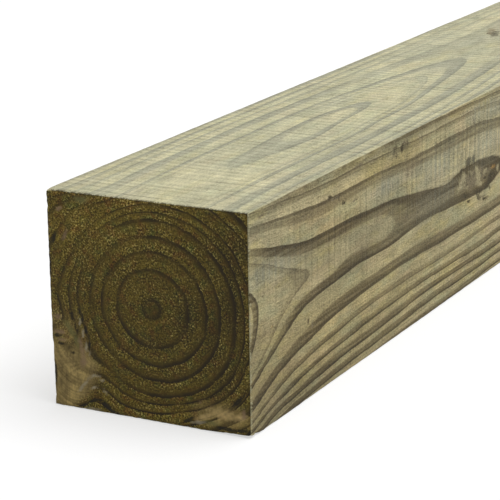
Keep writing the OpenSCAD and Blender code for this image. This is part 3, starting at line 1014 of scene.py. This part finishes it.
# %% Marks on the faces
# Each mark is a soft ellipse: (first place, second place, half length, half width, bearing in degrees).
# On the right side they are placed by distance from the near end and height
SIDE_MARKS = {
    "torn": [(235, 64.7, 8, 1.2, 10), (245.5, 68, 6.5, 3.2, -8), (252, 67, 6, 2.6, -22),
             (258, 64.6, 6, 1.8, -20), (266, 62.4, 7, 1.8, 0), (276, 62.8, 7, 2.0, -6),
             (283.5, 60.4, 5, 1.6, -35), (243, 64.6, 4, 1.2, -25), (262, 57, 3.2, 1.4, -20),
             (268, 54, 4, 1.8, -15), (277, 53.6, 8, 2.4, 5), (240, 50.6, 9, 1.6, -8),
             (256, 48.9, 12, 1.7, -2), (272, 49, 8, 2.0, 8), (283, 52.4, 5, 1.5, 25),
             (239.4, 75, 3.6, 0.7, -60), (245, 46, 3.6, 1.1, -5), (261, 44.6, 5, 1.9, -12),
             (267, 42.3, 3.6, 1.2, 0), (276, 46.2, 4.2, 1.1, -25), (151.3, 93.6, 4.0, 3.4, 80),
             (159.4, 93, 4.0, 3.4, 78), (165, 94.7, 2.8, 2.0, 60), (80, 87.9, 4.2, 1.3, 0),
             (87.5, 86, 4.6, 1.5, -30), (94, 81.8, 4.2, 1.3, -20), (109, 79.4, 3.6, 1.2, -20),
             (56, 36.5, 2, 1.2, -60)],
    "bruise": [(253, 57, 26, 7.0, -3), (110, 96, 8, 1.0, 0), (254, 94.2, 9, 1.1, -6),
               (265, 90.4, 4, 1.0, -5), (251, 88, 3, 3.4, 0), (105, 80, 5, 1.0, -15),
               (165, 79.5, 2.6, 2.2, 0), (61, 32, 5, 1.6, -65), (13, 96, 5, 0.9, 0),
               (85, 86.4, 10, 1.4, -8), (128, 88, 5, 1.0, 0), (149, 95.2, 9, 1.3, -6),
               (164, 95.0, 7, 1.4, -12), (266, 43.6, 9, 1.7, -8)],
    "bare": [(235.5, 58.8, 9, 5.4, 25), (256.5, 58.4, 8, 4.0, -30), (266.8, 57.2, 3.6, 2.9, 0),
             (260, 52.6, 10, 2.0, -10), (240, 54.6, 6, 2.0, -10), (247, 60.6, 4, 1.4, -20),
             (234, 72, 6, 3, 25), (286.5, 55.2, 3.4, 2.4, 0)],
    "resin": [(279.5, 57.4, 5.5, 1.6, -5), (148.6, 56.5, 4.4, 0.9, -75), (22, 46, 6, 0.7, 60)],
    "damp": [(200, 57.5, 34, 6.5, 0), (270, 73, 22, 10, 0), (204, 75, 30, 8, 0), (278, 90, 18, 6, -8),
             (20, 70, 26, 5, 0), (257, 92, 13, 5, 0), (142, 79, 18, 5, 0)],
}
# On the top, by distance from the near end and x
TOP_MARKS = {
    "torn": [(428, -8.8, 12, 3.0, -14), (438, -11, 8, 2.6, -20), (56, 29, 3, 0.8, 0),
             (30, 20, 3, 0.8, 0)],
    "bruise": [(438, -14, 16, 4.5, -20)],
    "damp": [(92, 4, 34, 7, 4), (330, 2, 40, 6, 0), (28, 38, 26, 3, 0), (400, -12, 34, 5, 5),
             (385, -33, 60, 10, 0), (288, -25, 18, 6, 0), (212, -12, 18, 5, 0)],
}
# On the near end, by x and height
END_MARKS = {
    "heart": [(36.5, 9.0, 9.0, 3.0, -6), (45, 9.2, 4.4, 2.2, 10), (27, 6.4, 6, 1.6, 20)],
    "green_end": [(-40, 37, 6, 2.0, 128), (-36.8, 32, 4.5, 1.3, 110), (-32, 97, 5, 1.8, 0),
                  (30.5, 4.2, 4, 1.3, 0)],
    "pink_end": [(-46, 34.9, 4, 0.9, 5), (-46.3, 41.8, 2.6, 1.5, 0), (-34.4, 29, 6, 1.4, 102),
                 (-33.6, 22.6, 3.4, 1.8, 80), (-44.8, 31.6, 3, 0.8, -8), (46.6, 10.6, 1.2, 3, 0),
                 (24.8, 13.2, 1.8, 0.9, 0), (-43, 92, 2.6, 1.1, 20), (-41, 80, 3, 1.2, 60)],
    "pale_end": [(-34.9, 41.2, 3.6, 0.8, 109), (-33.2, 35.8, 3.6, 0.8, 107), (-31.4, 29, 4.4, 0.9, 107),
                 (-46, 35.6, 3.0, 0.5, 5), (-29.6, 1.0, 4.6, 0.8, 2), (-34.4, 11.2, 4.6, 0.9, 50),
                 (-29.2, 16.3, 3.4, 0.8, 22), (-24.6, 15.6, 2.6, 0.8, -32), (-28.6, 11.2, 2.6, 0.8, 20),
                 (-23.4, 10.3, 2.8, 0.7, -32), (24, 3.4, 4.4, 0.9, 8)],
    # Black fibres and summer lines; the strip down the left edge, where the sliver came away, is painted
    # shade, and the dark along the foot at the lower right is summer wood with painted shade
    "black_fibres_and_shade": [(-48.7, 15.5, 6.8, 1.0, 90), (-34.4, 2.0, 3.4, 0.7, 20), (-29.6, 4.9, 2.6, 0.9, 38),
                  (-26.6, 5.8, 2.4, 0.9, -10), (-22.4, 3.4, 4.2, 1.5, -38), (-17.4, 1.0, 3.4, 0.9, -25),
                  (43.6, 15.7, 6.4, 1.2, 47), (38, 2.6, 6.6, 1.0, 0), (46, 3.0, 4, 1.0, 10),
                  (49.2, 2.2, 1.4, 2.2, 0), (19.4, 3.9, 4.2, 1.0, 30), (-44.4, 29.2, 3.4, 0.8, -19),
                  (-40, 27, 3.2, 0.8, -33), (-46.4, 39.6, 3.2, 0.6, 0), (-46.2, 33.4, 3.2, 0.6, 8),
                  (-46.6, 78, 3.2, 1.1, 75), (-49.3, 66, 6, 0.8, 90), (-39, 43.6, 4.6, 0.9, 106),
                  (-36.6, 37, 3, 0.8, 115), (-33.8, 44, 4.6, 0.9, 110), (-31.6, 37.6, 4, 1.0, 108),
                  (-30.4, 31, 3.2, 0.8, 97)],
    "soaked": [(42, 60, 22, 4.5, 90), (41, 78, 13, 4.5, 128), (38, 24, 14, 4, 50), (20, 50, 12, 5, 90),
               (4, 36, 10, 2.4, 0), (2.5, 52, 4.6, 4.6, 0), (33, 42, 12, 4, 90), (46, 84, 8, 4, -60)],
}
# Broad areas that are lighter or darker, partly the wood's own tone and partly painted light and shade,
# such as the darker foot of the right side by the near end: a mark as above, and by what share
SIDE_TONE_AND_LIGHT = [((10, 14, 46, 26, 0), -0.36), ((80, 3, 90, 10, 0), -0.14), ((225, 80, 100, 26, 0), 0.08),
              ((118, 54, 38, 10, 5), -0.24), ((70, 62, 28, 7, 5), -0.14), ((10, 72, 26, 15, 0), -0.12),
              ((230, 30, 60, 20, 0), 0.1), ((1.5, 78, 2.5, 26, 0), 0.14), ((46, 61, 16, 9, 0), -0.13),
              ((222, 65, 16, 9, 0), 0.14), ((261, 42, 14, 6, 0), -0.13)]
TOP_TONE_AND_LIGHT = [((150, 34, 110, 14, 0), -0.07), ((40, -48, 70, 8, 0), -0.11), ((0, 40, 50, 14, 0), -0.05),
             ((265, -20, 60, 8, 0), 0.05), ((60, 2, 50, 14, 0), 0.03), ((90, 4, 28, 5, 4), -0.02),
             ((0, 0, 20, 70, 0), -0.05)]
END_TONE_AND_LIGHT = [((14, 50, 40, 34, 0), -0.17), ((40, 62, 20, 30, 0), -0.15), ((-38, 16, 14, 14, 0), 0.06),
             ((-26, 90, 40, 15, 0), 0.3), ((10, 3, 46, 7, 0), 0.38), ((-20, 50, 16, 20, 0), -0.03)]


def spots(first, second, marks):
    """Soft ellipses at the marks, from 0 outside to 1 in the middle."""
    cover = np.zeros(len(first))
    for centre_first, centre_second, half_long, half_wide, bearing in marks:
        turn = math.radians(bearing)
        over, up = first - centre_first, second - centre_second
        lengthwise = over * math.cos(turn) + up * math.sin(turn)
        crosswise = up * math.cos(turn) - over * math.sin(turn)
        cover = np.maximum(cover, np.exp(-(lengthwise / half_long) ** 2 - (crosswise / half_wide) ** 2))
    return cover


def tones(first, second, areas):
    """Brightness in broad areas, partly tone and partly painted light and shade, 1 where none of them
    reaches.
    """
    return 1 + sum(share * spots(first, second, [area]) for area, share in areas)


def keep(mesh, name, values):
    """Stores one number for each point of a mesh."""
    made = mesh.attributes.new(name, "FLOAT", "POINT")
    made.data.foreach_set("value", np.asarray(values, np.float32))


for face, table in (("right side", SIDE_MARKS), ("top", TOP_MARKS), ("near end", END_MARKS)):
    print(sum(len(marks) for marks in table.values()), "marks on the", face)

# %% [markdown]
# First each point learns which face it lies on, which ring was cut there and how far it is from the
# edges. This could be worked out in nodes, but plain arrays are shorter and can be printed.

# %% Faces, rings and edges
# A point lies on a face of the grid when its place there is past this share
ON_FACE = 0.4999
# The step over which slopes are measured, in mm
STEP = 0.5
radius, outside, branch_radius = rings_at(stick_points)
x, y, z = stick_points.T
age = np.interp(radius, *zip(*ring_marks))
shade = np.interp(age % 1, *zip(*SAWN_BAND)) * np.interp(age, *zip(*darkness_marks))
top_face = grid[:, 2] > ON_FACE
side_face = np.abs(grid[:, 0]) > ON_FACE
right_side = grid[:, 0] > ON_FACE

# How fast the ring radius changes across the grain of each face, which steadies the wobble
slope_x, slope_z = (np.abs(rings_at(stick_points + STEP * way)[0] - radius) / STEP
                    for way in (np.array([1, 0, 0]), np.array([0, 0, 1])))
steep = np.clip(np.where(side_face, slope_z, slope_x), 0, 1.2)

from_side = np.minimum(x + WIDTH / 2, WIDTH / 2 - x)
from_flat = np.minimum(z, DEPTH - z)
from_arris = np.where(side_face, from_flat, from_side)
handled = 0.25 + 0.75 * ease(8, 40, y) * ease(300, 170, y) * right_side * (z > DEPTH / 2)
near_end = ease(16, 4, y)
at_end = np.minimum(y, LENGTH - y) < 0.3
bite = 0.3 + 1.3 * spots(y, z, [(222, 74, 75, 15, 0)]) + 0.6 * spots(y, z, [(70, 66, 80, 20, 0)])
print(np.count_nonzero(top_face), "points on the top,", np.count_nonzero(at_end), "on the two ends")

# %% [markdown]
# Burr wood grew where a branch left the trunk, and its fibres run every way, so no rings show in it.
# The rings are also fainter in some places than in others, where the face was rubbed or bleached.
# Soft ellipses and slopes say where, because their borders can't be seen.

# %% Attributes
# The burr in the lower left corner of the end, with fibres that fan out from the tip of its branch,
# and a smaller one at the foot on the right
TIP_X, TIP_Z = -29.5, 23.0
burr_edge = np.interp(z, [0, 6, 14, 22, 28, 48], [-40, -33, -27, -26, -31, -36])
corner_burr = ease(4, -4, x - burr_edge) * (0.4 + 0.6 * ease(34, 25, z)) * ease(54, 38, z)
foot_burr = ease(1.4, 0.5, np.hypot((x - 36) / 15, (z - 8.0) / 6.5))
both_burrs = np.maximum(corner_burr, foot_burr) * near_end
pith = spots(x, z, [(2.5, 50, 6, 6, 0)]) * at_end
fan = np.arctan2(z - TIP_Z, TIP_X - x + 1e-3) + 0.01 * np.hypot(x - TIP_X, z - TIP_Z)

# How clearly the rings show on the end, and how much of that is lost on the right side and the top
ring_show = (0.9 - 0.6 * spots(x, z, [(-34, 84, 22, 18, 0)]) + 0.35 * ease(-5, 30, x - 0.5 * (z - 50))
             - 0.7 * corner_burr - 0.5 * foot_burr)
side_faded = (0.4 * spots(y, z, [(0, 90, 40, 12, 0)]) + 0.2 * ease(79, 84, z)
              + 0.45 * spots(y, z, [(34, 46, 20, 4, 46), (52, 59, 8, 5, 0)])
              + 0.12 * ease(100, 150, y) + 0.3 * spots(y, z, [(230, 27, 70, 3, 0)]))
top_faded = np.maximum(0.65 * spots(y, x, [(88, 5, 32, 8, 0), (290, -28, 50, 5, 0)]),
                       0.4 * spots(y, x, [(0, 0, 60, 90, 0)])
                       + 0.5 * ease(310, 400, y) * ease(900, 600, y))
faded = 1 - right_side * side_faded - top_face * top_faded
# Each face's broad areas: the wood's own tone and painted light and shade
tone_and_painted_light = np.select([grid[:, 1] < -ON_FACE, right_side, top_face],
                 [tones(x, z, END_TONE_AND_LIGHT), tones(y, z, SIDE_TONE_AND_LIGHT), tones(y, x, TOP_TONE_AND_LIGHT)], 1.0)

place = (stick_points + [0, NEAR_END * MM, 0]) / MM
stick.vertices.foreach_set("co", place.astype(np.float32).ravel())
values = {
    "ring_radius": radius,
    "outside_branch": np.minimum(outside, 3),
    "branch_radius": branch_radius,
    "shade": shade,
    "steep": steep,
    "tone_and_painted_light": tone_and_painted_light,
    "warm": right_side * spots(y, z, [(60, 22, 130, 26, 0), (78, 76, 34, 9, 0), (150, 88, 60, 4, 0)]),
    # sky marks the top, which is bleached and carries a painted sheen
    "sky": top_face * ease(DEPTH - ARRIS, DEPTH, z),
    "fan": fan,
    "grime": 0.75 * ease(7, 0.5, from_arris) * handled * np.where(top_face, 0.3, 1),
    "saw_bite": np.where(right_side, bite, np.where(top_face, 1.5, 0.7)),
    "rim": at_end * ease(1.5, 0.2, np.minimum(from_side, from_flat)),
    "burr": np.maximum(corner_burr, 0.7 * foot_burr) * near_end,
    "closed": np.maximum(both_burrs, 0.8 * pith),
    "ring_show": np.where(at_end, 1 + (ring_show - 1) * near_end, faded),
}
for name, marks in END_MARKS.items():
    values[name] = spots(x, z, marks) * near_end
for name, marks in SIDE_MARKS.items():
    values[name] = right_side * spots(y, z, marks) + top_face * spots(y, x, TOP_MARKS.get(name, []))
for name, numbers in values.items():
    keep(stick, name, numbers)
print(", ".join(f"{name} {numbers.min():.2g} to {numbers.max():.2g}" for name, numbers in values.items()))

# %% [markdown]
# ## Relief
#
# Sawn pine is never flat. Soft spring wood wears back between the hard summer lines, the blade
# leaves shallow waves, and torn spots are hollow. A second node tree sinks each point along its
# normal by those amounts. It only ever goes inwards, so the stick stays inside its true size.

# %% Geometry Nodes: the worn surface
# Depths and sizes in metres, as a node tree takes them. The seed picks one pattern of lumps
WEAR = {"Spring wood depth": 0.00012, "Wave depth": 0.00006, "Wave pitch": 0.0118,
        "Torn depth": 0.0005, "Rough depth": 0.00018, "Rough size": 0.012, "Fray depth": 0.0008,
        "Fray size": 0.0022, "Seed": 7.0}


def worn_tree():
    """Sinks the surface between summer rings, in saw waves and in torn spots, and dresses it."""
    tree = bpy.data.node_groups.new("worn_surface", "GeometryNodeTree")
    socket(tree, "Geometry", "Geometry")
    for name in WEAR:
        socket(tree, name, "Float")
    for name in ("Long faces", "Ends"):
        socket(tree, name, "Material")
    socket(tree, "Geometry", "Geometry", "OUTPUT")
    given = add(tree, "NodeGroupInput").outputs
    place = add(tree, "GeometryNodeInputPosition")
    normal = add(tree, "GeometryNodeInputNormal")
    facing = add(tree, "ShaderNodeSeparateXYZ", {0: normal}).outputs
    end_on = add(tree, "ShaderNodeMath", {0: facing["Y"]}, operation="ABSOLUTE")
    long_on = add(tree, "ShaderNodeMath", {0: 1.0, 1: end_on}, operation="SUBTRACT", use_clamp=True)
    summer, rim, torn = (add(tree, "GeometryNodeInputNamedAttribute", {"Name": name}, data_type="FLOAT")
                         for name in ("shade", "rim", "torn"))
    spring = add(tree, "ShaderNodeMath", {0: 1.0, 1: summer}, operation="SUBTRACT")

    # The blade's waves, from 0 on a crest to 1 in a hollow
    along = add(tree, "ShaderNodeSeparateXYZ", {0: place}).outputs["Y"]
    turns = add(tree, "ShaderNodeMath", {0: along, 1: given["Wave pitch"]}, operation="DIVIDE")
    turns = add(tree, "ShaderNodeMath", {0: turns, 1: 2 * math.pi}, operation="MULTIPLY")
    wave = add(tree, "ShaderNodeMath", {0: turns}, operation="SINE")
    wave = add(tree, "ShaderNodeMath", {0: wave, 1: 0.5, 2: 0.5}, operation="MULTIPLY_ADD")

    # Lumps of two sizes: the general roughness, and the fray along the rims of the ends
    lumps = []
    for size in (given["Rough size"], given["Fray size"]):
        scale = add(tree, "ShaderNodeMath", {0: 1.0, 1: size}, operation="DIVIDE")
        lumps.append(add(tree, "ShaderNodeTexNoise",
                         {"Vector": place, "W": given["Seed"], "Scale": scale, "Detail": 2.0},
                         noise_dimensions="4D"))

    # Each kind of wear is a pattern, times its depth, times where it acts
    depth = 0.0
    for pattern, deep, where in ((spring, "Spring wood depth", long_on), (wave, "Wave depth", long_on),
                                 (lumps[0], "Rough depth", 1.0), (lumps[1], "Fray depth", rim),
                                 (torn, "Torn depth", 1.0)):
        wear = add(tree, "ShaderNodeMath", {0: pattern, 1: given[deep]}, operation="MULTIPLY")
        depth = add(tree, "ShaderNodeMath", {0: wear, 1: where, 2: depth}, operation="MULTIPLY_ADD")
    inwards = add(tree, "ShaderNodeMath", {0: depth, 1: -1.0}, operation="MULTIPLY")
    offset = add(tree, "ShaderNodeVectorMath", {0: normal, "Scale": inwards}, operation="SCALE")
    sunk = add(tree, "GeometryNodeSetPosition", {"Geometry": given["Geometry"], "Offset": offset})
    whole = add(tree, "GeometryNodeRealizeInstances", {"Geometry": sunk})
    dressed = add(tree, "GeometryNodeSetMaterial", {"Geometry": whole, "Material": given["Long faces"]})
    is_end = add(tree, "ShaderNodeMath", {0: end_on, 1: 0.7}, operation="GREATER_THAN")
    dressed = add(tree, "GeometryNodeSetMaterial",
                  {"Geometry": dressed, "Selection": is_end, "Material": given["Ends"]})
    add(tree, "NodeGroupOutput", {"Geometry": dressed})
    return tree


worn = run_tree("worn_surface", worn_tree(), {**WEAR, "Long faces": sawn, "Ends": end_grain}, start=stick)
print("worn surface:", len(worn.polygons), "cells,", [finish.name for finish in worn.materials])

# %% [markdown]
# ## Texture layout
#
# When the part is exported, its look is painted onto one square image. Left alone, an unwrapper
# would give a 1.8 m stick a thin ribbon of it. Each long face is cut in two halves here, eight
# strips in all, stacked up the left of the square, and the two ends sit beside them, larger than
# life, because they carry the finest detail.

# %% The layout
STRIP_WIDE, STRIP_HIGH, END_SIZE, MARGIN = 0.70, 0.125, 0.285, 0.003
# Faces in the order in which they are stacked: right, top, left, underside, near end and far end
NEAR_CUT, FAR_CUT = 4, 5


def lay_out(mesh, grid, across, up):
    """Writes the layout: eight half strips and two ends, from the grid and the true section."""
    corner = np.empty(len(mesh.loops), np.int32)
    mesh.loops.foreach_get("vertex_index", corner)
    face = np.repeat(np.arange(len(mesh.polygons)), 4)
    middle = grid[corner].reshape(-1, 4, 3).mean(1)
    on_face = [middle[:, 0] > ON_FACE, middle[:, 2] > ON_FACE, middle[:, 0] < -ON_FACE,
               middle[:, 2] < -ON_FACE, middle[:, 1] < -ON_FACE]
    side = np.select(on_face, [0, 1, 2, 3, NEAR_CUT], FAR_CUT)[face]
    far_half = (middle[:, 1] > 0)[face]
    u = (grid[corner, 1] + 0.5) * 2 - far_half
    v = np.where((side == 0) | (side == 2), up[corner], across[corner])
    row = side * 2 + far_half
    wide = STRIP_WIDE - 2 * MARGIN
    tall = STRIP_HIGH - 2 * MARGIN
    strip = np.stack([MARGIN + u * wide, row * STRIP_HIGH + MARGIN + v * tall], 1)
    end_turn = np.where(side == NEAR_CUT, across[corner], 1 - across[corner])
    end = np.stack([STRIP_WIDE + MARGIN + end_turn * END_SIZE,
                    MARGIN + (side == FAR_CUT) * 0.5 + up[corner] * END_SIZE], 1)
    place = np.where((side >= NEAR_CUT)[:, None], end, strip)
    layer = mesh.uv_layers.new(name="OFBake")
    layer.data.foreach_set("uv", place.astype(np.float32).ravel())
    return place


across = np.clip(whole_points[:, 0] / WIDTH + 0.5, 0, 1)
upwards = np.clip(whole_points[:, 2] / DEPTH, 0, 1)
layout = lay_out(worn, grid, across, upwards)
print("layout from", layout.min(0).round(3), "to", layout.max(0).round(3))

# %% [markdown]
# ## Into the scene
#
# The stick is one piece on one body, and it stands for the construction model's timber.

# %% The finished piece
worn.name = "sawn_timber"
worn.shade_smooth()
timber = bpy.data.objects.new("sawn_timber", worn)
scene.collection.objects.link(timber)
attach(timber, "root")
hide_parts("timber")

# %% Bring the scene up to date
bpy.context.view_layer.update()
